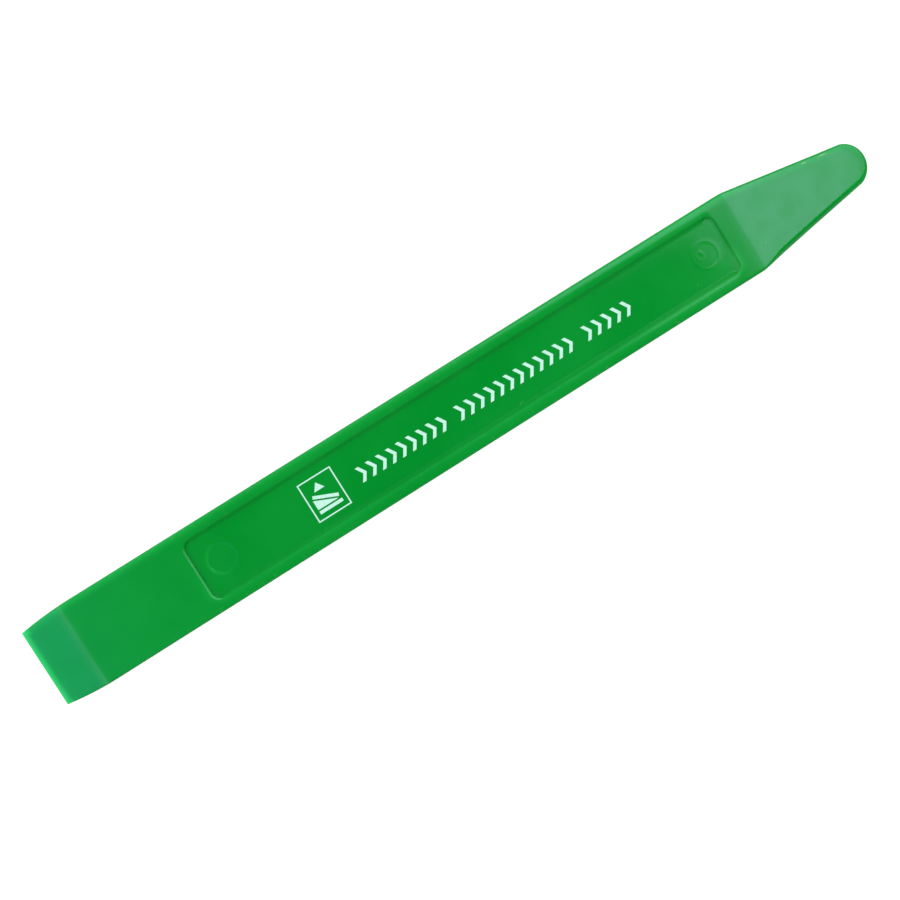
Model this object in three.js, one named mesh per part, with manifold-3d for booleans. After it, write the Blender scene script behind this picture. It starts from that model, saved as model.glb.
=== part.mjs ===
// Spudger: a flat plastic pry stick, injection moulded in one piece, with a white legend printed in its recess.
//
// Millimetres, +Z up. X runs along the tool, from the chisel's edge at -X to the round spatula tip at +X, and Y runs
// across it. The tool lies flat on Z = 0, and the origin is the middle of its underside.

import * as THREE from "three";
import { mergeVertices } from "three/addons/utils/BufferGeometryUtils.js";
import Module from "manifold-3d";

const wasm = await Module();
wasm.setup();

// ---- Driving dimensions ------------------------------------------------------------------------------------------

const LENGTH = 200;
const WIDTH = 18.7;
const THICKNESS = 5;
const EDGE_RADIUS = 0.5; // rounding of the long edges
const EDGE_STEPS = 4;

const CHISEL = {
  length: 9.3, // from the edge back to the break line of the bevels
  edgeWidth: 17,
  edgeThickness: 0.7,
  flare: 2.5, // the sides begin to close in this far behind the break line
};

const SPATULA = {
  length: 31.9, // from the shoulders to the tip
  shoulderBlend: 0.4, // half the length of the soft corner at each shoulder
  taperLead: 0.5, // the thickness begins to taper this far behind the shoulders
  tipChord: 9.6, // width where the straight sides meet the round tip
  tipRadius: 5.03,
  tipThickness: 1.2,
};

const RECESS = {
  length: 128.5,
  width: 13.9,
  cornerRadius: 2.3,
  depth: 0.8,
  draft: 0.5, // the wall's foot stands in from its rim by this much
};

const EJECTOR_MARK = {
  radius: 3.1,
  depth: 0.1,
  fromRecessEnd: 5.7, // from the end wall of the recess to the mark's centre
};

const INK = {
  thickness: 0.05,
  centreline: -0.62, // the chevrons' Y, a little below the middle of the tool
};

const FRAME = {
  x: -34.3,
  y: -0.1,
  width: 7.8,
  height: 8.8,
  stroke: 0.28,
};

const PICTOGRAM = {
  width: 5.4,
  bar: 0.7, // thickness of the base and of the lid
  gap: 0.35, // between one shape and the next
  bottom: -3.1, // underside of the base, from the centre of the frame
  wedgeLength: 4.8,
  wedgeHeight: 2.1,
  arrowBase: 2.4,
  arrowHeight: 1.7,
  arrowX: -0.3,
  arrowTop: 3.1,
};

// Three runs of chevrons: where each starts, and how many it has.
const RUNS = [
  { x: -26.4, count: 9 },
  { x: -2.75, count: 12 },
  { x: 28.35, count: 5 },
];
const CHEVRON = {
  pitch: 2.4,
  height: 3.3,
  reach: 1.05, // how far the point stands out from the ends of the arms
  stroke: 0.8, // width of an arm, measured along the run
};

// ---- Places worked out from them ---------------------------------------------------------------------------------

const END = LENGTH / 2;
const MID_Z = THICKNESS / 2;
const CHISEL_BREAK_X = -END + CHISEL.length;
const SHOULDER_X = END - SPATULA.length;
const TAPER_X = SHOULDER_X - SPATULA.taperLead;
const FLOOR_Z = THICKNESS - RECESS.depth;
const CLEAR = 2; // how far a cutter runs past what it cuts

// ---- Materials ---------------------------------------------------------------------------------------------------

const greenPlastic = () => new THREE.MeshStandardMaterial({ color: 0x0f9a3c, roughness: 0.42, metalness: 0 });
const whiteInk = () => new THREE.MeshStandardMaterial({ color: 0xe4fbf3, roughness: 0.6, metalness: 0 });

// ---- Solids ------------------------------------------------------------------------------------------------------

/** A closed three.js geometry as a manifold-3d solid. */
function solidOf(geometry) {
  const bare = geometry.clone();
  bare.deleteAttribute("normal");
  bare.deleteAttribute("uv");
  const merged = mergeVertices(bare);
  return new wasm.Manifold(
    new wasm.Mesh({
      numProp: 3,
      vertProperties: new Float32Array(merged.attributes.position.array),
      triVerts: new Uint32Array(merged.index.array),
    }),
  );
}

/** A manifold-3d solid as a three.js geometry. */
function geometryOf(solid) {
  const mesh = solid.getMesh();
  const geometry = new THREE.BufferGeometry();
  geometry.setAttribute("position", new THREE.BufferAttribute(mesh.vertProperties, mesh.numProp));
  geometry.setIndex(new THREE.BufferAttribute(mesh.triVerts, 1));
  geometry.computeVertexNormals();
  return geometry;
}

/** The closed outline through these [x, y] points. */
function polygon(points) {
  return new THREE.Shape(points.map(([x, y]) => new THREE.Vector2(x, y)));
}

/** A rectangle centred on (x, y). */
function rectangle(x, y, width, height) {
  const w = width / 2;
  const h = height / 2;
  return polygon([
    [x - w, y - h],
    [x + w, y - h],
    [x + w, y + h],
    [x - w, y + h],
  ]);
}

// ---- The moulding ------------------------------------------------------------------------------------------------

/**
 * The tool seen from above: square chisel end, parallel sides, tapered spatula with a round tip. It runs on past the
 * chisel's edge, for the side outline to cut square.
 */
function planOutline() {
  const half = WIDTH / 2;
  const edge = CHISEL.edgeWidth / 2;
  const chord = SPATULA.tipChord / 2;
  const arcAngle = Math.asin(chord / SPATULA.tipRadius);
  const arcCentre = END - SPATULA.tipRadius;
  const arcX = arcCentre + SPATULA.tipRadius * Math.cos(arcAngle);
  const flareX = CHISEL_BREAK_X + CHISEL.flare;
  const blend = SPATULA.shoulderBlend;
  const taper = new THREE.Vector2(arcX - SHOULDER_X, chord - half).setLength(blend);

  const shape = new THREE.Shape();
  shape.moveTo(-END - CLEAR, -edge);
  shape.lineTo(-END, -edge);
  shape.quadraticCurveTo((flareX - END) / 2, -half, flareX, -half);
  shape.lineTo(TAPER_X, -half);
  shape.lineTo(SHOULDER_X - blend, -half);
  shape.quadraticCurveTo(SHOULDER_X, -half, SHOULDER_X + taper.x, -half - taper.y);
  shape.lineTo(arcX, -chord);
  shape.absarc(arcCentre, 0, SPATULA.tipRadius, -arcAngle, arcAngle, false);
  shape.lineTo(SHOULDER_X + taper.x, half + taper.y);
  shape.quadraticCurveTo(SHOULDER_X, half, SHOULDER_X - blend, half);
  shape.lineTo(TAPER_X, half);
  shape.lineTo(flareX, half);
  shape.quadraticCurveTo((flareX - END) / 2, half, -END, edge);
  shape.lineTo(-END - CLEAR, edge);
  return shape;
}

/** The plan outline at full thickness, with rounded long edges. */
function blankGeometry() {
  const geometry = new THREE.ExtrudeGeometry(planOutline(), {
    depth: THICKNESS - 2 * EDGE_RADIUS,
    curveSegments: 10,
    bevelThickness: EDGE_RADIUS,
    bevelSize: EDGE_RADIUS,
    bevelOffset: -EDGE_RADIUS,
    bevelSegments: EDGE_STEPS,
  });
  return geometry.translate(0, 0, EDGE_RADIUS);
}

/** From the chisel's edge to where the taper begins: the blank, cut to the X-Z outline of the two bevels. */
function handle() {
  const edge = CHISEL.edgeThickness / 2;
  const rise = (MID_Z - edge) / CHISEL.length;
  const exitX = CHISEL_BREAK_X + CLEAR / rise;
  const outline = polygon([
    [-END, MID_Z - edge],
    [exitX, -CLEAR],
    [TAPER_X, -CLEAR],
    [TAPER_X, THICKNESS + CLEAR],
    [exitX, THICKNESS + CLEAR],
    [-END, MID_Z + edge],
  ]);
  const slab = new THREE.ExtrudeGeometry(outline, { depth: WIDTH + 2 * CLEAR, bevelEnabled: false });
  slab.rotateX(Math.PI / 2);
  slab.translate(0, WIDTH / 2 + CLEAR, 0);
  return solidOf(blankGeometry()).intersect(solidOf(slab));
}

/** The blank beyond there, its thickness scaled down evenly along X until the tip. */
function spatula() {
  const geometry = blankGeometry();
  const position = geometry.attributes.position;
  for (let i = 0; i < position.count; i++) {
    const along = (position.getX(i) - TAPER_X) / (END - TAPER_X);
    const scale = THREE.MathUtils.lerp(1, SPATULA.tipThickness / THICKNESS, along);
    position.setZ(i, MID_Z + (position.getZ(i) - MID_Z) * scale);
  }
  const length = END + CLEAR - TAPER_X;
  const keep = new THREE.BoxGeometry(length, WIDTH + 2 * CLEAR, THICKNESS + 2 * CLEAR);
  keep.translate(TAPER_X + length / 2, 0, MID_Z);
  return solidOf(geometry).intersect(solidOf(keep));
}

/** The rounded rectangle of the recess at its rim. */
function recessOutline() {
  const { length, width, cornerRadius: r } = RECESS;
  const x = length / 2;
  const y = width / 2;
  const shape = new THREE.Shape();
  shape.moveTo(-x + r, -y);
  shape.lineTo(x - r, -y);
  shape.absarc(x - r, -y + r, r, -Math.PI / 2, 0, false);
  shape.lineTo(x, y - r);
  shape.absarc(x - r, y - r, r, 0, Math.PI / 2, false);
  shape.lineTo(-x + r, y);
  shape.absarc(-x + r, y - r, r, Math.PI / 2, Math.PI, false);
  shape.lineTo(-x, -y + r);
  shape.absarc(-x + r, -y + r, r, Math.PI, 1.5 * Math.PI, false);
  return shape;
}

/** The cutter for one recess, with drafted walls; its rim is at the local Z = 0, and it cuts down from there. */
function recessCutter() {
  return new THREE.ExtrudeGeometry(recessOutline(), {
    depth: CLEAR,
    curveSegments: 8,
    bevelThickness: RECESS.depth,
    bevelSize: RECESS.draft,
    bevelOffset: -RECESS.draft,
    bevelSegments: 1,
  });
}

/** The shallow round print that an ejector pin leaves in the floor of the upper recess. */
function ejectorCutter(x) {
  const geometry = new THREE.CylinderGeometry(EJECTOR_MARK.radius, EJECTOR_MARK.radius, 2 * EJECTOR_MARK.depth, 40);
  geometry.rotateX(Math.PI / 2);
  return solidOf(geometry.translate(x, 0, FLOOR_Z));
}

function toolBody() {
  const upperRecess = solidOf(recessCutter().translate(0, 0, THICKNESS));
  const lowerRecess = solidOf(recessCutter().rotateX(Math.PI));
  const markX = RECESS.length / 2 - EJECTOR_MARK.fromRecessEnd;
  const solid = handle()
    .add(spatula())
    .subtract(upperRecess)
    .subtract(lowerRecess)
    .subtract(ejectorCutter(-markX))
    .subtract(ejectorCutter(markX));
  const mesh = new THREE.Mesh(geometryOf(solid), greenPlastic());
  mesh.name = "tool_body";
  return mesh;
}

// ---- The printed legend ------------------------------------------------------------------------------------------

/** One island of ink: a flat shape, as thick as the ink, lying on the group's Z = 0. */
function inkMark(name, shape) {
  const geometry = new THREE.ExtrudeGeometry(shape, { depth: INK.thickness, bevelEnabled: false });
  const mesh = new THREE.Mesh(geometry, whiteInk());
  mesh.name = name;
  return mesh;
}

/** The thin rectangular line round the pictogram. */
function printedFrame() {
  const { width, height, stroke } = FRAME;
  const outline = rectangle(0, 0, width, height);
  outline.holes.push(rectangle(0, 0, width - 2 * stroke, height - 2 * stroke));
  return inkMark("print_frame", outline);
}

/** A wedge that lifts a lid off a base, with an arrow over it. */
function pictogram() {
  const { width, bar, gap, bottom, wedgeLength, wedgeHeight } = PICTOGRAM;
  const left = -width / 2;
  const wedgeBottom = bottom + bar + gap;
  const slope = new THREE.Vector2(wedgeLength, -wedgeHeight).normalize();
  const outward = new THREE.Vector2(-slope.y, slope.x);
  const heel = new THREE.Vector2(left, wedgeBottom + wedgeHeight);
  const lidStart = heel.clone().addScaledVector(outward, gap);
  const lidEnd = lidStart.clone().addScaledVector(slope, width);

  const base = rectangle(0, bottom + bar / 2, width, bar);
  const wedge = polygon([
    [left, wedgeBottom],
    [left + wedgeLength, wedgeBottom],
    [heel.x, heel.y],
  ]);
  const lid = new THREE.Shape([
    lidStart,
    lidEnd,
    lidEnd.clone().addScaledVector(outward, bar),
    lidStart.clone().addScaledVector(outward, bar),
  ]);
  const { arrowX, arrowTop, arrowBase, arrowHeight } = PICTOGRAM;
  const arrow = polygon([
    [arrowX - arrowBase / 2, arrowTop - arrowHeight],
    [arrowX + arrowBase / 2, arrowTop - arrowHeight],
    [arrowX, arrowTop],
  ]);

  const group = new THREE.Group();
  group.add(inkMark("print_pictogram_base", base));
  group.add(inkMark("print_pictogram_wedge", wedge));
  group.add(inkMark("print_pictogram_lid", lid));
  group.add(inkMark("print_pictogram_arrow", arrow));
  return group;
}

/** One chevron pointing along +X, with the ends of its arms at the local X = 0. */
function chevronShape() {
  const { height, reach, stroke } = CHEVRON;
  const h = height / 2;
  return polygon([
    [0, -h],
    [stroke, -h],
    [stroke + reach, 0],
    [stroke, h],
    [0, h],
    [reach, 0],
  ]);
}

function chevronRuns() {
  const group = new THREE.Group();
  let number = 0;
  for (const run of RUNS) {
    for (let i = 0; i < run.count; i++) {
      number += 1;
      const mark = inkMark(`print_chevron_${String(number).padStart(2, "0")}`, chevronShape());
      mark.position.set(run.x + i * CHEVRON.pitch, INK.centreline, 0);
      group.add(mark);
    }
  }
  return group;
}

function legend() {
  const emblem = new THREE.Group();
  emblem.position.set(FRAME.x, FRAME.y, 0);
  emblem.add(printedFrame(), pictogram());

  const group = new THREE.Group();
  group.position.z = FLOOR_Z;
  group.add(emblem, chevronRuns());
  return group;
}

// ---- The tool ----------------------------------------------------------------------------------------------------

const spudger = new THREE.Group();
spudger.name = "spudger";
spudger.add(toolBody(), legend());

export default spudger;
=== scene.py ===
"""The looks of a green plastic spudger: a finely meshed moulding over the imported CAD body, and its printed legend.

The row frame is in metres: +X runs towards the round spatula tip, +Z is up, and the tool lies on Z = 0. The
dimensions below are in millimetres, and MM turns them into metres where a mesh is made.
"""

import math

import bpy
import numpy as np
from mathutils import Matrix, Vector


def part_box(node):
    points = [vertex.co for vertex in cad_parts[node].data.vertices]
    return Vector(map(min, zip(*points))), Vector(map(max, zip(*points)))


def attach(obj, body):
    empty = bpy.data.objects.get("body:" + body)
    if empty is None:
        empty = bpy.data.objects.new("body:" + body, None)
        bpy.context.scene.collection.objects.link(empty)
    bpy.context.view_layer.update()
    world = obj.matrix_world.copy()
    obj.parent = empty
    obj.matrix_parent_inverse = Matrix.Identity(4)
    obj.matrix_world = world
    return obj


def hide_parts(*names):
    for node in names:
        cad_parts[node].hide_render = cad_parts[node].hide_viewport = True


MM = 0.001

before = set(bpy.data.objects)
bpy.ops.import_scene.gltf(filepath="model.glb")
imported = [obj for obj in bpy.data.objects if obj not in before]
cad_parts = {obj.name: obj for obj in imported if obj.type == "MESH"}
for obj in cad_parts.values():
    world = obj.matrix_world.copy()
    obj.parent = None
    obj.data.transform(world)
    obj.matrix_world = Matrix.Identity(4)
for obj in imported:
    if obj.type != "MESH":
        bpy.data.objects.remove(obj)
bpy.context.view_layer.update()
body_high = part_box("tool_body")[1]

# ---- Driving dimensions, in millimetres --------------------------------------------------------------------------

END = body_high.x / MM
HALF_WIDTH = body_high.y / MM
MID_Z = body_high.z / MM / 2

CHISEL_LENGTH = 9.3
CHISEL_HALF_EDGE = 8.5
CHISEL_EDGE_THICKNESS = 0.7
CHISEL_FLARE = 2.5  # how far behind the bevel the sides still widen
CHISEL_BREAK_X = -END + CHISEL_LENGTH

SHOULDER_X = END - 31.9
TAPER_X = SHOULDER_X + 0.2
TIP_HALF_CHORD = 4.8
TIP_RADIUS = 5.03
TIP_CENTRE_X = END - TIP_RADIUS
TIP_START_X = TIP_CENTRE_X + math.sqrt(TIP_RADIUS**2 - TIP_HALF_CHORD**2)
TIP_ARC_ANGLE = math.asin(TIP_HALF_CHORD / TIP_RADIUS)
TIP_THICKNESS = 1.2

RECESS_HALF_LENGTH = 64.25
RECESS_HALF_WIDTH = 7.1
RECESS_CORNER = 2.3
RECESS_DEPTH = 0.8
RECESS_RIM = 0.45  # how far in from the rim the wall curves over, along the long sides
RECESS_SLOPE = 1.15
RECESS_END_RIM = 0.15  # at the two ends the rim is crisper and the wall steeper
RECESS_END_SLOPE = 4.5
RECESS_END_BLEND = 0.7 * RECESS_CORNER  # the side wall's form turns into the end wall's over this
RECESS_FOOT_SOFTNESS = 0.1
CHAMFER = 0.45  # width of the worn chamfer along the rim at the end towards the chisel
CHAMFER_SLOPE = 0.27
CHAMFER_SHIFT = 0.1  # how far the chamfer reaches out over the land
RECESS_ROLL = 0.045  # how far the land rolls down towards the rim along the long sides
RECESS_ROLL_WIDTH = 0.6
RECESS_SAG = 0.02  # how far the floor falls towards the wall's foot
RECESS_SAG_WIDTH = 0.5
RECESS_SAG_WIDTH_END = 2.0  # the same towards the spatula
RECESS_FAR_SAG = 0.04  # a broader fall towards the +Y wall, midway to the spatula
RECESS_FAR_SAG_WIDTH = 1.5

SUNK_MARK_X = -58.35
SUNK_MARK_DEPTH = 0.06
SUNK_MARK_BURR = 0.005
RAISED_MARK_X = 58.7
RAISED_MARK_RING = 0.018
RAISED_MARK_TILT = 0.007  # how far the disc inside the ring falls for each millimetre along it
STUB_HEIGHT = 0.018
STUB_COLLAR_HEIGHT = 0.008
MARK_RADIUS = 3.1

BEVEL_SOFTNESS = 0.08  # how far the line where the chisel's bevel begins is blended
TAPER_SOFTNESS = 0.035
SHOULDER_SOFTNESS = 0.04
BREAK_BURR = 0.012  # the fine raised line where the bevel begins
BREAK_BURR_WIDTH = 0.2
CROWN = 0.068  # how far the lands fall towards their edges, before the edges' own rounding
CROWN_WIDTH = 2.2
CROWN_RUN = 4  # how far behind the bevel the crown has come in fully
EDGE_ROUND = 0.5
EDGE_ROUND_CHISEL = 0.2
EDGE_ROUND_SPATULA = 1.3  # along the spatula's -Y side, which is rounded more fully
EDGE_ROUND_MOST = 0.8  # the largest share of the half thickness that the rounding may take
EDGE_STEPS = 7
RIM = 1.5  # width of the band of loops that follows the outline
WALL_DRAFT = 0.05
PARTING_RIDGE = 0.035
BOW_START_X = 84  # where the mesh's rows start to bow towards the round tip

SIDE_BLEND = 4  # what is on one side only comes in over this distance from the middle line
END_WALL_X = 62  # the colour traces on the recess's two end walls come in from here
END_WALL_RUN = 1.5
RIM_WEAR = 0.5
RIM_WEAR_WIDTH = 0.25

SCRATCHES = [  # x, y, length, width, angle in degrees and how pale
    (9.7, -5.7, 1.8, 0.3, 18, 0.25),
    (54.2, -4.5, 1.1, 0.3, 75, 0.2),
    (71.1, -4.4, 0.8, 0.5, 30, 0.3),
    (87.3, 5.4, 1.8, 0.45, -10, 0.8),
    (91.7, 4.8, 3.2, 0.45, -8, 0.8),
]


# ---- The moulding's shape ----------------------------------------------------------------------------------------


def smooth_min(a, b, softness):
    """The lesser of a and b, rounded off where they cross."""
    return 0.5 * (a + b - np.sqrt((a - b) ** 2 + softness**2))


def smooth_step(t):
    """0 below 0 and 1 above 1, with an S between them."""
    t = np.clip(t, 0, 1)
    return t * t * (3 - 2 * t)


def rise(value, start, run):
    """0 up to start and 1 from start + run on. With a negative run it falls instead."""
    return smooth_step((value - start) / run)


def bell(distance, width):
    """1 where distance is 0, and less on both sides of it."""
    return np.exp(-((distance / width) ** 2))


def far_half(y):
    """0 on the -Y half, and 1 well into the +Y half."""
    return smooth_step(y / SIDE_BLEND)


def near_half(y):
    """0 on the +Y half, and 1 well into the -Y half."""
    return smooth_step(-y / SIDE_BLEND)


def half_width(x):
    """Half the tool's width at x, up to where the round tip begins."""
    flare = np.clip((x + END) / (CHISEL_LENGTH + CHISEL_FLARE), 0, 1)
    chisel = HALF_WIDTH - (HALF_WIDTH - CHISEL_HALF_EDGE) * (1 - flare) ** 2
    slope = (HALF_WIDTH - TIP_HALF_CHORD) / (TIP_START_X - SHOULDER_X)
    return smooth_min(chisel, HALF_WIDTH - slope * (x - SHOULDER_X), SHOULDER_SOFTNESS)


def half_thickness(x):
    """Half the tool's thickness at x: the chisel's bevel, the flat middle and the spatula's taper."""
    edge = CHISEL_EDGE_THICKNESS / 2
    bevel = edge + (MID_Z - edge) * (x + END) / CHISEL_LENGTH
    taper = MID_Z - (MID_Z - TIP_THICKNESS / 2) * (x - TAPER_X) / (END - TAPER_X)
    burr = BREAK_BURR * bell(x - CHISEL_BREAK_X + 0.1, BREAK_BURR_WIDTH)
    chisel_end = smooth_min(bevel, MID_Z, BEVEL_SOFTNESS) + burr
    spatula_end = smooth_min(taper, MID_Z, TAPER_SOFTNESS)
    return np.where(x < 0, chisel_end, spatula_end)


def recess_inset(x, y):
    """How far a point is inside the rim of the recess; negative outside it."""
    across_x = np.abs(x) - (RECESS_HALF_LENGTH - RECESS_CORNER)
    across_y = np.abs(y) - (RECESS_HALF_WIDTH - RECESS_CORNER)
    outside = np.hypot(np.maximum(across_x, 0), np.maximum(across_y, 0))
    return RECESS_CORNER - outside - np.minimum(np.maximum(across_x, across_y), 0)


def recess_wall(x):
    """The chamfer's width, the rim's curve, the wall's slope and the wall's whole run at x."""
    inner = RECESS_HALF_LENGTH - RECESS_CORNER
    towards_chisel = rise(-x, inner, RECESS_END_BLEND)
    end = rise(np.abs(x), inner, RECESS_END_BLEND)
    chamfer = CHAMFER * towards_chisel
    rim = RECESS_RIM + (RECESS_END_RIM - RECESS_RIM) * end
    slope = RECESS_SLOPE + (RECESS_END_SLOPE - RECESS_SLOPE) * end
    run = chamfer + (RECESS_DEPTH - CHAMFER_SLOPE * chamfer) / slope + rim / 2
    return chamfer, rim, slope, run


def recess_sag(x, y, from_foot):
    """How far the floor falls towards the wall's foot: everywhere a little, and more along part of the +Y wall."""
    width = RECESS_SAG_WIDTH + (RECESS_SAG_WIDTH_END - RECESS_SAG_WIDTH) * rise(x, 56, 6)
    far = RECESS_FAR_SAG * rise(x, 5, 35) * rise(x, 54, -14) * far_half(y)
    return RECESS_SAG * np.exp(-from_foot / width) + far * np.exp(-from_foot / RECESS_FAR_SAG_WIDTH)


def recess_depth(x, y):
    """How far a face falls: the land rolls down to the rim, the wall curves over it and falls straight, and the
    floor sags a little at its foot."""
    signed = recess_inset(x, y)
    chamfer, rim, slope, foot = recess_wall(x)
    signed = signed + CHAMFER_SHIFT * chamfer / CHAMFER
    inset = np.maximum(signed - chamfer, 0)
    wall = CHAMFER_SLOPE * np.clip(signed, 0, chamfer)
    wall += np.where(inset < rim, slope * inset**2 / (2 * rim), slope * (inset - rim / 2))
    long_side = smooth_step((RECESS_HALF_LENGTH - np.abs(x)) / RECESS_CORNER)
    roll = RECESS_ROLL * long_side * np.exp(np.minimum(signed, 0) / RECESS_ROLL_WIDTH)
    land = roll * (1 - smooth_step(signed / foot))
    floor = RECESS_DEPTH + recess_sag(x, y, np.maximum(signed - foot, 0))
    return np.maximum(smooth_min(wall, floor, RECESS_FOOT_SOFTNESS), 0) + land


def side_inset(x, y):
    """How far a point is inside the tool's plan outline, from its long sides and its round tip."""
    tip = TIP_RADIUS - np.hypot(x - TIP_CENTRE_X, y)
    return np.where(x > TIP_START_X, tip, half_width(np.minimum(x, TIP_START_X)) - np.abs(y))


def crown_drop(x, y):
    """The faint fall of each face towards the tool's long sides."""
    share = np.clip(1 - side_inset(x, y) / CROWN_WIDTH, 0, 1)
    return CROWN * share**2 * rise(x, CHISEL_BREAK_X, CROWN_RUN)


def sunk_mark(x, y):
    """Depth of the left-hand pin's print: a disc pressed in, deepest towards -X, with a fine burr round it."""
    across = x - SUNK_MARK_X
    outward = np.hypot(across, y) - MARK_RADIUS
    lean = (across - 0.3 * y) / MARK_RADIUS
    disc = SUNK_MARK_DEPTH * (1 - 0.75 * lean) * (1 - rise(outward, -0.45, 0.7))
    burr = SUNK_MARK_BURR * (1 + 0.8 * lean) * bell(outward - 0.2, 0.3)
    return disc - burr


def raised_mark(x, y):
    """Height of the right-hand pin's print: a disc that dips and a ring that stands proud towards +X, steep inside
    and gentle outside, round a snapped-off gate stub."""
    across = x - RAISED_MARK_X
    outward = np.hypot(across, y) - MARK_RADIUS
    lean = (across + 0.1 * y) / MARK_RADIUS
    disc = -RAISED_MARK_TILT * across * (1 - rise(outward, -0.5, 0.5))
    from_crest = outward + 0.3
    ring = RAISED_MARK_RING * (1 + 0.9 * lean)
    ring *= rise(from_crest, -0.15, 0.2) * np.exp(-np.maximum(from_crest, 0) / 0.45)
    stub = STUB_HEIGHT * bell(np.hypot(across + 0.5, y - 1.1), 0.35)
    collar = STUB_COLLAR_HEIGHT * bell(np.hypot(across + 0.9, y - 0.3) - 0.8, 0.2)
    return disc + ring + stub + collar


def top_drop(x, y):
    """How far the upper face lies below the tool's outer planes."""
    return recess_depth(x, y) + crown_drop(x, y) + sunk_mark(x, y) - raised_mark(x, y)


def bottom_drop(x, y):
    """The same for the lower face, which has no marks."""
    return recess_depth(x, y) + crown_drop(x, y)


# ---- Traces in the moulding's colour -----------------------------------------------------------------------------
#
# Glow is painted light: light coming through the plastic, and painted highlights on the recess and the sunk mark.
# The pale traces are painted highlights on the recess and the raised mark, and a pale line where the bevel begins.
# Each is a share from 0 to 1 at a place on the tool, and is the sum of its traces; a trace's first number is its
# strength.


def glow_at_edges(x, y):
    """Painted light through the chisel's edge, round the tip, and in a band inside the +Y side."""
    inset = side_inset(x, y)
    chisel_edge = np.exp(-(x + END) / 0.5)
    tip = 0.1 * rise(x, 90, 8) * np.exp(-inset / 0.4)
    far_side = 0.13 + 0.1 * rise(x, 20, 40) + 0.06 * rise(-x, 50, 20)
    far_side *= far_half(y) * (1 - 0.4 * rise(x, SHOULDER_X, 8))
    centre = 0.3 + 0.5 * rise(x, 20, 30)
    width = 1.1 - 0.5 * centre
    return chisel_edge + tip + far_side * bell(inset - centre, width)


def glow_at_recess(x, y):
    """Painted light and painted highlights: on the lands, the recess's rounded rims and end walls, and its floor
    beside the +Y wall and towards the spatula."""
    inset = recess_inset(x, y)
    land = 0.025 * (1 - smooth_step(inset / RECESS_RIM))
    near_rim = (0.045 + 0.06 * rise(x, 20, 30)) * near_half(y) * bell(inset, 0.7)
    far_foot = 0.04 * rise(x, 20, 30) * far_half(y) * bell(inset - 0.95, 0.4)
    left_rim = 0.1 * rise(-x, END_WALL_X, END_WALL_RUN) * bell(inset - 0.15, 0.3)
    left_rim *= rise(y, 4.5, -3) * (0.6 + 0.4 * smooth_step(-y / 5))
    right_wall = 0.11 * rise(x, END_WALL_X, END_WALL_RUN) * bell(inset - 0.3, 0.25)
    right_floor = 0.035 * rise(x, 57, 5) * rise(inset, 0.5, 0.6)
    return land + near_rim + far_foot + left_rim + right_wall + right_floor


def glow_at_mark(x, y):
    """A painted highlight in an arc along the sunk mark's edge, on the side towards the chisel."""
    across = x - SUNK_MARK_X
    outward = np.hypot(across, y) - MARK_RADIUS
    return 0.1 * smooth_step(0.3 - 0.9 * across / MARK_RADIUS) * bell(outward - 0.05, 0.3)


def pale_line_at_break(x, y):
    """A fine pale line where the chisel's bevel begins, strongest at its two ends, and a soft band beside it."""
    behind = x - CHISEL_BREAK_X
    line = 0.12 * (0.3 + 0.7 * (y / HALF_WIDTH) ** 2) * bell(behind - 0.1, 0.22)
    band = 0.06 * bell(behind + 0.3, 0.85)
    return line + band


def highlight_at_recess(x, y):
    """Painted highlights on the recess's steep wall towards the spatula, and along its -Y rim on that half of the
    tool.
    """
    inset = recess_inset(x, y)
    wall = 0.05 * rise(x, END_WALL_X, END_WALL_RUN) * rise(inset, -0.1, 0.2) * rise(inset, 0.6, -0.3)
    rim = 0.065 * rise(x, 20, 35) * near_half(y) * bell(inset - 0.15, 0.65)
    return wall + rim


def highlight_at_mark(x, y):
    """A painted highlight in a pale arc just inside the raised mark's ring, on the side towards the spatula."""
    across = x - RAISED_MARK_X
    outward = np.hypot(across, y) - MARK_RADIUS
    return 0.08 * smooth_step(0.3 + across / MARK_RADIUS) * bell(outward + 0.37, 0.15)


def cavity_share(x, y):
    """Where the plastic is rougher and shaded: on the recess's wall, and beside its foot, where the band is narrower
    along the +Y wall towards the spatula."""
    inset = recess_inset(x, y)
    chamfer, _, _, foot = recess_wall(x)
    far_right = rise(x, 10, 40) * far_half(y)
    reach = 0.7 + chamfer - 0.4 * far_right
    past_foot = inset - foot + 0.1 + 0.25 * far_right
    return rise(inset, 0.5 * chamfer - 0.1, 0.3) * (1 - smooth_step(past_foot / reach))


# ---- The moulding's mesh -----------------------------------------------------------------------------------------


def stepped(start, *runs):
    """Grid lines from start, through each (stop, step) in turn."""
    lines = [start]
    for stop, step in runs:
        count = max(1, round((stop - lines[-1]) / step))
        lines.extend(np.linspace(lines[-1], stop, count + 1)[1:])
    return np.array(lines)


def grid_lines():
    """Where the mesh's lines cross the side outline (x) and the half width (y), close together at each feature."""
    half_y = stepped(0, (2.4, 0.2), (3.5, 0.1), (4.6, 0.25), (6.3, 0.12), (7.1, 0.06), (HALF_WIDTH - RIM, 0.15))
    y = np.concatenate([-half_y[:0:-1], half_y])
    recess_half = stepped(0, (54.8, 1.5), (56.0, 0.1), (60.8, 0.2), (62.2, 0.1), (63.5, 0.15), (64.5, 0.06))
    start = stepped(-END, (-END + RIM + 0.4, 9), (-91.4, 0.6), (-90.0, 0.08), (-89.6, 0.2), (-64.5, 1.2))
    finish = stepped(64.5, (66.8, 0.5), (68.6, 0.1), (90, 0.9), (TIP_START_X, 0.4))
    x = np.concatenate([start[:-1], -recess_half[:0:-1], recess_half, finish[1:]])
    return x, y


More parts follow.
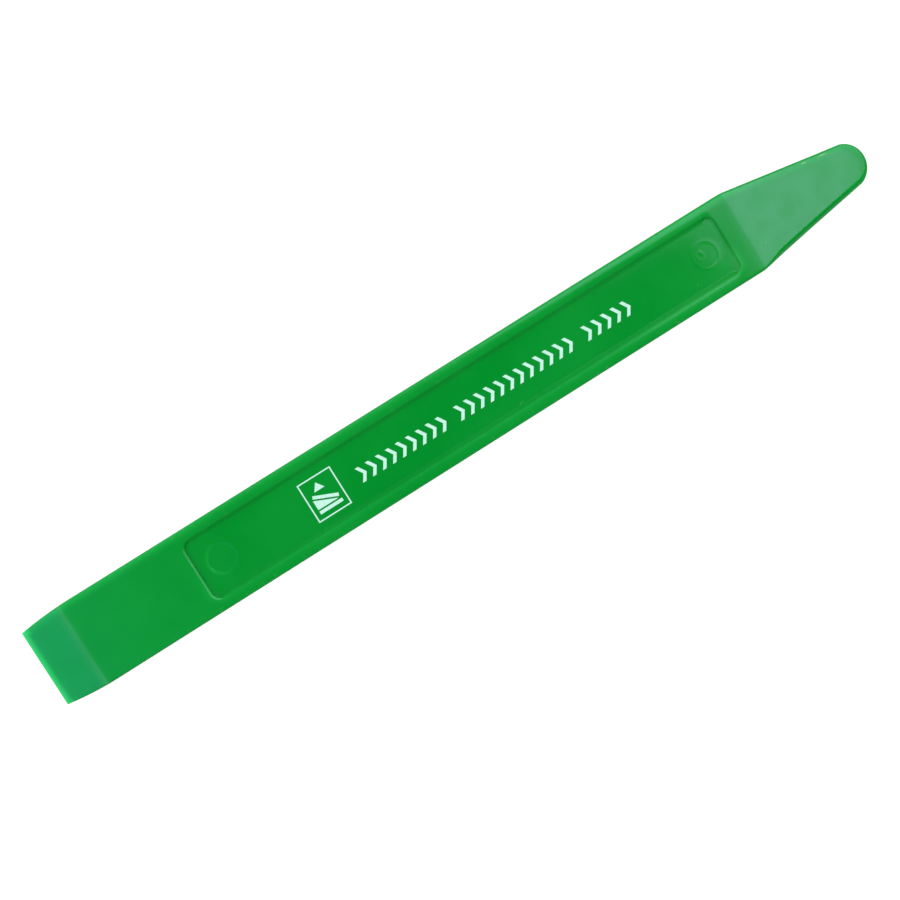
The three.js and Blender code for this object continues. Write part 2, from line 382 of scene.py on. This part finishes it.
def outline(x_lines, y_shares):
    """Points of the plan outline, anticlockwise from the chisel's -Y corner: one side, the tip, the other side and
    the chisel's edge."""
    half = half_width(x_lines)
    turn = TIP_ARC_ANGLE * y_shares[1:-1]
    tip_x = TIP_CENTRE_X + TIP_RADIUS * np.cos(turn)
    tip_y = TIP_RADIUS * np.sin(turn)
    edge_y = (CHISEL_HALF_EDGE - RIM) * y_shares[-2:0:-1]
    side = np.column_stack([x_lines, -half])
    tip = np.column_stack([tip_x, tip_y])
    other = np.column_stack([x_lines[::-1], half[::-1]])
    edge = np.column_stack([np.full_like(edge_y, -END), edge_y])
    return np.concatenate([side, tip, other, edge])


def inward(points):
    """The mitred inward normal at each point of a closed anticlockwise outline."""
    along = np.roll(points, -1, axis=0) - points
    along /= np.linalg.norm(along, axis=1)[:, None]
    normal = np.column_stack([-along[:, 1], along[:, 0]])
    before = np.roll(normal, 1, axis=0)
    return (normal + before) / (1 + np.sum(normal * before, axis=1))[:, None]


def face_grid(rim, x_lines, y_shares):
    """Plan positions of the grid inside the rim. Its rows are straight, then bow out to meet the round tip."""
    rows, columns = len(x_lines), len(y_shares)
    low = rim[:rows]
    high = rim[rows + columns - 2 : 2 * rows + columns - 2][::-1]
    bow = rise(x_lines, BOW_START_X, x_lines[-1] - BOW_START_X)[:, None]
    turn = TIP_ARC_ANGLE * y_shares[None, :]
    share = (1 - bow) * y_shares[None, :] + bow * np.sin(turn) / math.sin(TIP_ARC_ANGLE)
    x = low[:, :1] + bow * (TIP_RADIUS - RIM) * (np.cos(turn) - math.cos(TIP_ARC_ANGLE))
    y = high[:, 1:] * share
    grid = np.stack([x, y], axis=-1)
    grid[:, 0] = low
    grid[:, -1] = high
    grid[-1, 1:-1] = rim[rows : rows + columns - 2]
    grid[0, 1:-1] = rim[2 * rows + columns - 2 :][::-1]
    return grid


def rim_indices(rows, columns):
    """Index into the flattened grid of each outline point, in the outline's order."""
    side = [i * columns for i in range(rows)]
    tip = [(rows - 1) * columns + j for j in range(1, columns - 1)]
    other = [i * columns + columns - 1 for i in range(rows - 1, -1, -1)]
    edge = list(range(columns - 2, 0, -1))
    return np.array(side + tip + other + edge)


def edge_rounding(x, y):
    """The rounding's plan radius: fine along the chisel's bevel, and fullest along the spatula's -Y side."""
    chisel = (EDGE_ROUND - EDGE_ROUND_CHISEL) * rise(x, CHISEL_BREAK_X, 2 - CHISEL_LENGTH)
    near = rise(x, TAPER_X, 6) * smooth_step(0.5 - y / TIP_HALF_CHORD)
    return EDGE_ROUND - chisel + (EDGE_ROUND_SPATULA - EDGE_ROUND) * near


def rim_loops(points, normals):
    """Closed loops from the upper face's rim, round the edge and down to the lower face's, as (x, y, z) arrays."""
    radius = edge_rounding(*points.T)
    height = half_thickness(points[:, 0])
    drop = np.minimum(radius, EDGE_ROUND_MOST * height)
    wall = height - crown_drop(*points.T) - drop

    def loop(inset, z):
        plan = points + normals * inset[:, None]
        return np.column_stack([plan, z])

    upper = []
    for step in range(EDGE_STEPS + 1):
        angle = math.pi / 2 * step / EDGE_STEPS
        inset = WALL_DRAFT + radius * (1 - math.sin(angle))
        x, y = (points + normals * inset[:, None]).T
        z = half_thickness(x) - crown_drop(x, y) - drop * (1 - math.cos(angle))
        upper.append((inset, z))
    # The foot and the crest of the parting ridge.
    for inset, level in ((PARTING_RIDGE, 0.12), (0.3 * PARTING_RIDGE, 0.05)):
        upper.append((np.full_like(wall, inset), level * np.minimum(wall, 1)))
    loops = [loop(inset, MID_Z + z) for inset, z in upper]
    loops += [loop(inset, MID_Z - z) for inset, z in reversed(upper)]
    return loops


def quads_between(first, second):
    """Faces that join two closed loops of vertex indices."""
    return np.column_stack([first, second, np.roll(second, -1), np.roll(first, -1)])


def moulding_mesh():
    """Vertices in millimetres, faces, and the traces that the material reads at each vertex."""
    x_lines, y_lines = grid_lines()
    y_shares = y_lines / y_lines[-1]
    rows, columns = len(x_lines), len(y_shares)
    points = outline(x_lines, y_shares)
    normals = inward(points)
    grid = face_grid(points + RIM * normals, x_lines, y_shares).reshape(-1, 2)
    x, y = grid.T
    top = np.column_stack([grid, MID_Z + half_thickness(x) - top_drop(x, y)])
    bottom = np.column_stack([grid, MID_Z - half_thickness(x) + bottom_drop(x, y)])
    loops = rim_loops(points, normals)
    vertices = np.concatenate([top, *loops, bottom])

    cell = np.arange((rows - 1) * columns).reshape(rows - 1, columns)[:, :-1].ravel()
    top_faces = np.column_stack([cell, cell + columns, cell + columns + 1, cell + 1])
    bottom_start = len(top) + len(loops) * len(points)
    bottom_faces = bottom_start + top_faces[:, ::-1]
    rim = rim_indices(rows, columns)
    ring = np.arange(len(points))
    rings = [rim] + [len(top) + k * len(points) + ring for k in range(len(loops))] + [bottom_start + rim]
    bands = [quads_between(a, b) for a, b in zip(rings, rings[1:])]
    faces = np.concatenate([top_faces, *bands, bottom_faces])

    rim_wear = RIM_WEAR * bell(recess_inset(x, y), RIM_WEAR_WIDTH)
    place = vertices[:, :2].T
    traces = {
        "wear": np.concatenate([rim_wear, np.ones(len(loops) * len(points)), rim_wear]),
        "glow": glow_at_edges(*place) + glow_at_recess(*place) + glow_at_mark(*place),
        "pale_and_highlight": pale_line_at_break(*place) + highlight_at_recess(*place) + highlight_at_mark(*place),
        "cavity": cavity_share(*place),
    }
    return vertices, faces, traces


def mesh_object(name, vertices, faces, attributes):
    """An object in the scene, from a mesh in millimetres and its values at each vertex."""
    mesh = bpy.data.meshes.new(name)
    mesh.from_pydata((vertices * MM).tolist(), [], faces.tolist())
    mesh.validate()
    mesh.shade_smooth()
    for label, values in attributes.items():
        layer = mesh.attributes.new(label, "FLOAT", "POINT")
        layer.data.foreach_set("value", values.astype(np.float32))
    made = bpy.data.objects.new(name, mesh)
    bpy.context.scene.collection.objects.link(made)
    return made


# ---- Node trees --------------------------------------------------------------------------------------------------

BLACK = (0, 0, 0, 1)
WHITE = (1, 1, 1, 1)


class Nodes:
    """Adds shader nodes to one tree. Inputs are given by name or number, as values or as other nodes' outputs."""

    def __init__(self, tree):
        self.tree = tree
        tree.nodes.clear()

    def add(self, kind, inputs=None, output=0, **settings):
        made = self.tree.nodes.new("ShaderNode" + kind)
        for key, value in settings.items():
            setattr(made, key, value)
        for key, value in (inputs or {}).items():
            if isinstance(value, bpy.types.NodeSocket):
                self.tree.links.new(value, made.inputs[key])
            else:
                made.inputs[key].default_value = value
        return made.outputs[output] if made.outputs else made

    def math(self, operation, *values):
        return self.add("Math", dict(enumerate(values)), operation=operation)

    def remap(self, value, low, high, to_low=0.0, to_high=1.0):
        ends = {0: value, 1: low, 2: high, 3: to_low, 4: to_high}
        return self.add("MapRange", ends, interpolation_type="SMOOTHSTEP")

    def mix(self, share, first, second):
        return self.add("Mix", {0: share, 6: first, 7: second}, output=2, data_type="RGBA")


def new_material(name):
    material = bpy.data.materials.new(name)
    material.use_nodes = True
    return material, Nodes(material.node_tree)


# ---- Materials ---------------------------------------------------------------------------------------------------

GREEN_DEEP = (0.0005, 0.272, 0.0235, 1)  # the flow marks lie between this and the next
GREEN_FULL = (0.002, 0.296, 0.0285, 1)
# Painted light: the colour where light through the plastic and highlights are painted.
GREEN_LIT = (0.04, 0.86, 0.17, 1)  # with light coming through
GREEN_SHADED = (0.0005, 0.14, 0.014, 1)
# Pale green for scuffs and scratches, and for painted highlights.
GREEN_RUBBED_AND_HIGHLIGHT = (0.18, 0.5, 0.2, 1)
INK_THIN = (0.49, 0.84, 0.7, 1)
INK_FULL = (0.585, 0.905, 0.785, 1)

FLOW_SCALE = 60  # the noise scales are in features per metre
SMUDGE_SCALE = 220
SCUFF_SCALE = 900
FILM_SCALE = 2500
GRAIN_SCALE = 3000
SCUFF_STRENGTH = 0.17
SHADE_STRENGTH = 0.07


def scratch(nodes, place, x, y, length, width, angle, share):
    """How pale the plastic is rubbed by one short scratch, which fades out at its edges."""
    settings = {
        "Vector": place,
        "Location": (x * MM, y * MM, 0),
        "Rotation": (0, 0, math.radians(angle)),
        "Scale": (length / 2 * MM, width / 2 * MM, 1),
    }
    local = nodes.add("Mapping", settings, vector_type="TEXTURE")
    distance = nodes.add("VectorMath", {0: local}, output=1, operation="LENGTH")
    return nodes.remap(distance, 0.3, 1, share, 0)


def green_plastic():
    """Satin moulded nylon, coloured through: faint flow marks, fine grain, scuffed edges and rubbed corners, with
    painted light through the plastic, painted highlights and painted shade in the recess.
    """
    material, nodes = new_material("green_plastic")
    place = nodes.add("TexCoord", output="Object")
    flow = nodes.add("TexNoise", {"Vector": place, "Scale": FLOW_SCALE, "Detail": 3})
    base = nodes.mix(nodes.remap(flow, 0.3, 0.7), GREEN_DEEP, GREEN_FULL)
    # Painted light: greener and brighter where light through the plastic and highlights are painted.
    glow = nodes.add("Attribute", output="Fac", attribute_name="glow")
    lit = nodes.mix(glow, base, GREEN_LIT)
    cavity = nodes.add("Attribute", output="Fac", attribute_name="cavity")
    shaded = nodes.mix(nodes.math("MULTIPLY", cavity, SHADE_STRENGTH), lit, GREEN_SHADED)
    wear = nodes.add("Attribute", output="Fac", attribute_name="wear")
    patches = nodes.add("TexNoise", {"Vector": place, "Scale": SCUFF_SCALE, "Detail": 4, "Roughness": 0.7})
    scuffs = nodes.math("MULTIPLY", wear, nodes.remap(patches, 0.56, 0.72, 0, SCUFF_STRENGTH))
    # Paler where scuffed and scratched, and where highlights are painted.
    pale = nodes.math("ADD", scuffs, nodes.add("Attribute", output="Fac", attribute_name="pale_and_highlight"))
    for mark in SCRATCHES:
        pale = nodes.math("ADD", pale, scratch(nodes, place, *mark))
    color = nodes.mix(pale, shaded, GREEN_RUBBED_AND_HIGHLIGHT)
    grain = nodes.add("TexNoise", {"Vector": place, "Scale": GRAIN_SCALE, "Detail": 2})
    bump = nodes.add("Bump", {"Strength": 0.1, "Distance": 0.01 * MM, "Height": grain})
    smudges = nodes.add("TexNoise", {"Vector": place, "Scale": SMUDGE_SCALE, "Detail": 2})
    gloss = nodes.math("MULTIPLY", nodes.remap(cavity, 0, 1, 0.5, 0.2), nodes.remap(smudges, 0.3, 0.7, 0.9, 1.1))
    surface = {
        "Base Color": color,
        "Roughness": nodes.math("MULTIPLY_ADD", cavity, 0.08, nodes.remap(flow, 0.2, 0.8, 0.08, 0.11)),
        "IOR": 1.55,
        "Specular IOR Level": gloss,
        "Specular Tint": (0.55, 0.8, 1, 1),
        "Subsurface Weight": 0.15,
        "Subsurface Radius": (0.3, 1.0, 0.4),
        "Subsurface Scale": MM,
        "Normal": bump,
    }
    shader = nodes.add("BsdfPrincipled", surface)
    nodes.add("OutputMaterial", {"Surface": shader})
    return material


def white_ink():
    """Matt pad-printing ink, with a little green showing through where the film is thin."""
    material, nodes = new_material("white_ink")
    place = nodes.add("TexCoord", output="Object")
    film = nodes.add("TexNoise", {"Vector": place, "Scale": FILM_SCALE, "Detail": 3})
    color = nodes.mix(nodes.remap(film, 0.35, 0.65), INK_THIN, INK_FULL)
    shader = nodes.add("BsdfPrincipled", {"Base Color": color, "Roughness": 0.6})
    nodes.add("OutputMaterial", {"Surface": shader})
    return material


def pale_floor():
    """White paper, which also shines towards the camera alone, so that it stays white round the tool."""
    material, nodes = new_material("pale_floor")
    diffuse = nodes.add("BsdfDiffuse", {"Color": (0.5, 0.5, 0.5, 1)})
    is_seen = nodes.add("LightPath", output="Is Camera Ray")
    glow = nodes.add("Emission", {"Color": WHITE, "Strength": nodes.math("MULTIPLY", is_seen, 0.75)})
    both = nodes.add("AddShader", {0: diffuse, 1: glow})
    nodes.add("OutputMaterial", {"Surface": both})
    return material


# ---- Pieces ------------------------------------------------------------------------------------------------------


def build_moulding():
    """The moulding, which stands for the CAD body."""
    vertices, faces, attributes = moulding_mesh()
    moulding = mesh_object("moulding", vertices, faces, attributes)
    moulding.data.materials.append(green_plastic())
    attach(moulding, "root")
    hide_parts("tool_body")


def dress_legend():
    """Ink on the CAD's own islands of print."""
    ink = white_ink()
    for name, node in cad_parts.items():
        if name.startswith("print_"):
            node.data.materials.clear()
            node.data.materials.append(ink)


# ---- Stage, light and camera -------------------------------------------------------------------------------------

FLOOR_HALF_SIZE = 3  # metres
FLOOR_DROP = 0.05 * MM  # a hair below the tool, so that the two don't coincide
LAMP_SIZE = 1.2  # metres
LAMP_POWER = 3.1  # watts
LAMP_Y = 0.25  # metres
LAMP_Z = 0.85
CAMERA_PLACE = (-26.5, 5.9, 258.8)  # millimetres
CAMERA_RIGHT = (0.844, -0.5293, 0.0866)
CAMERA_FORWARD = (0.073, -0.0467, -0.9962)


def build_floor():
    """A wide sheet that the tool lies on."""
    half = FLOOR_HALF_SIZE
    corners = [(-half, -half, 0), (half, -half, 0), (half, half, 0), (-half, half, 0)]
    mesh = bpy.data.meshes.new("floor")
    mesh.from_pydata(corners, [], [(0, 1, 2, 3)])
    mesh.materials.append(pale_floor())
    floor = bpy.data.objects.new("floor", mesh)
    floor.location.z = -FLOOR_DROP
    bpy.context.scene.collection.objects.link(floor)


def build_world():
    """A light tent, white to the camera. Its sheen on the tool comes from a window to the upper right, brighter ones
    beyond the spatula that even out where they are furthest along, a weaker blue one beyond the chisel, and pale
    walls low down."""
    world = bpy.data.worlds.new("tent")
    world.use_nodes = True
    nodes = Nodes(world.node_tree)
    direction = nodes.add("TexCoord", output="Generated")
    along = nodes.add("SeparateXYZ", {"Vector": direction}, output=0)
    across = nodes.add("SeparateXYZ", {"Vector": direction}, output=1)
    height = nodes.add("SeparateXYZ", {"Vector": direction}, output=2)

    def window(towards, start, full, color):
        """Light from one direction, nothing where facing it is under start, all of it over full."""
        facing = nodes.add("VectorMath", {0: direction, 1: towards}, output=1, operation="DOT_PRODUCT")
        return nodes.mix(nodes.remap(facing, start, full), BLACK, color)

    def added(first, second):
        """The sum of two lights."""
        return nodes.add("VectorMath", {0: first, 1: second}, operation="ADD")

    pane = window((0.643, 0.766, 0), 0.183, 0.245, (1.75, 1.5, 1.75, 1))
    wing = window((1, 0, 0), 0.325, 0.36, (1.6, 1.35, 1.55, 1))
    gable = window((1, 0, 0), 0.38, 0.44, (1.4, 1.25, 1.4, 1))
    right = nodes.add("VectorMath", {0: pane, 1: added(wing, gable)}, operation="MAXIMUM")
    # Furthest along they give way to an even light, and on both sides they end.
    right = nodes.mix(nodes.remap(along, 0.53, 0.57), right, (1.6, 1.6, 1.6, 1))
    right = nodes.mix(nodes.remap(across, 0.35, 0.5), right, BLACK)
    right = nodes.mix(nodes.remap(across, -0.15, -0.3), right, BLACK)
    far = window((-1, 0, 0), 0.1, 0.45, (0.36, 1.05, 1.4, 1))
    high = added(right, far)
    low = nodes.mix(nodes.remap(height, 0.15, 0.35), (0.5, 0.55, 0.55, 1), (0.03, 0.05, 0.05, 1))
    sheen = nodes.mix(nodes.remap(height, 0.45, 0.65), low, high)
    tent = nodes.mix(nodes.remap(across, -1, 1), (0.7, 0.7, 0.7, 1), WHITE)
    is_glossy = nodes.add("LightPath", output="Is Glossy Ray")
    is_seen = nodes.add("LightPath", output="Is Camera Ray")
    color = nodes.mix(is_seen, nodes.mix(is_glossy, tent, sheen), WHITE)
    background = nodes.add("Background", {"Color": color, "Strength": 1})
    nodes.add("OutputWorld", {"Surface": background})
    bpy.context.scene.world = world


def build_overhead_lamp():
    """A large diffuser over the tool. The satin plastic doesn't mirror it, because the camera blocks it there."""
    data = bpy.data.lights.new("overhead", "AREA")
    data.size = LAMP_SIZE
    data.energy = LAMP_POWER
    lamp = bpy.data.objects.new("overhead", data)
    lamp.location = (0, LAMP_Y, LAMP_Z)
    lamp.rotation_euler.x = -math.atan2(LAMP_Y, LAMP_Z)
    lamp.visible_glossy = False
    lamp.visible_camera = False
    bpy.context.scene.collection.objects.link(lamp)


def build_camera():
    """Nearly straight above the tool, which lies across the picture from lower left to upper right."""
    right = Vector(CAMERA_RIGHT).normalized()
    forward = Vector(CAMERA_FORWARD)
    up = right.cross(forward).normalized()
    back = right.cross(up)
    data = bpy.data.cameras.new("camera")
    data.lens = 50
    data.sensor_width = 36
    camera = bpy.data.objects.new("camera", data)
    turn = Matrix((right, up, back)).transposed().to_4x4()
    camera.matrix_world = Matrix.Translation(Vector(CAMERA_PLACE) * MM) @ turn
    bpy.context.scene.collection.objects.link(camera)
    bpy.context.scene.camera = camera


build_moulding()
dress_legend()
build_floor()
build_world()
build_overhead_lamp()
build_camera()
bpy.context.scene.view_settings.view_transform = "Standard"
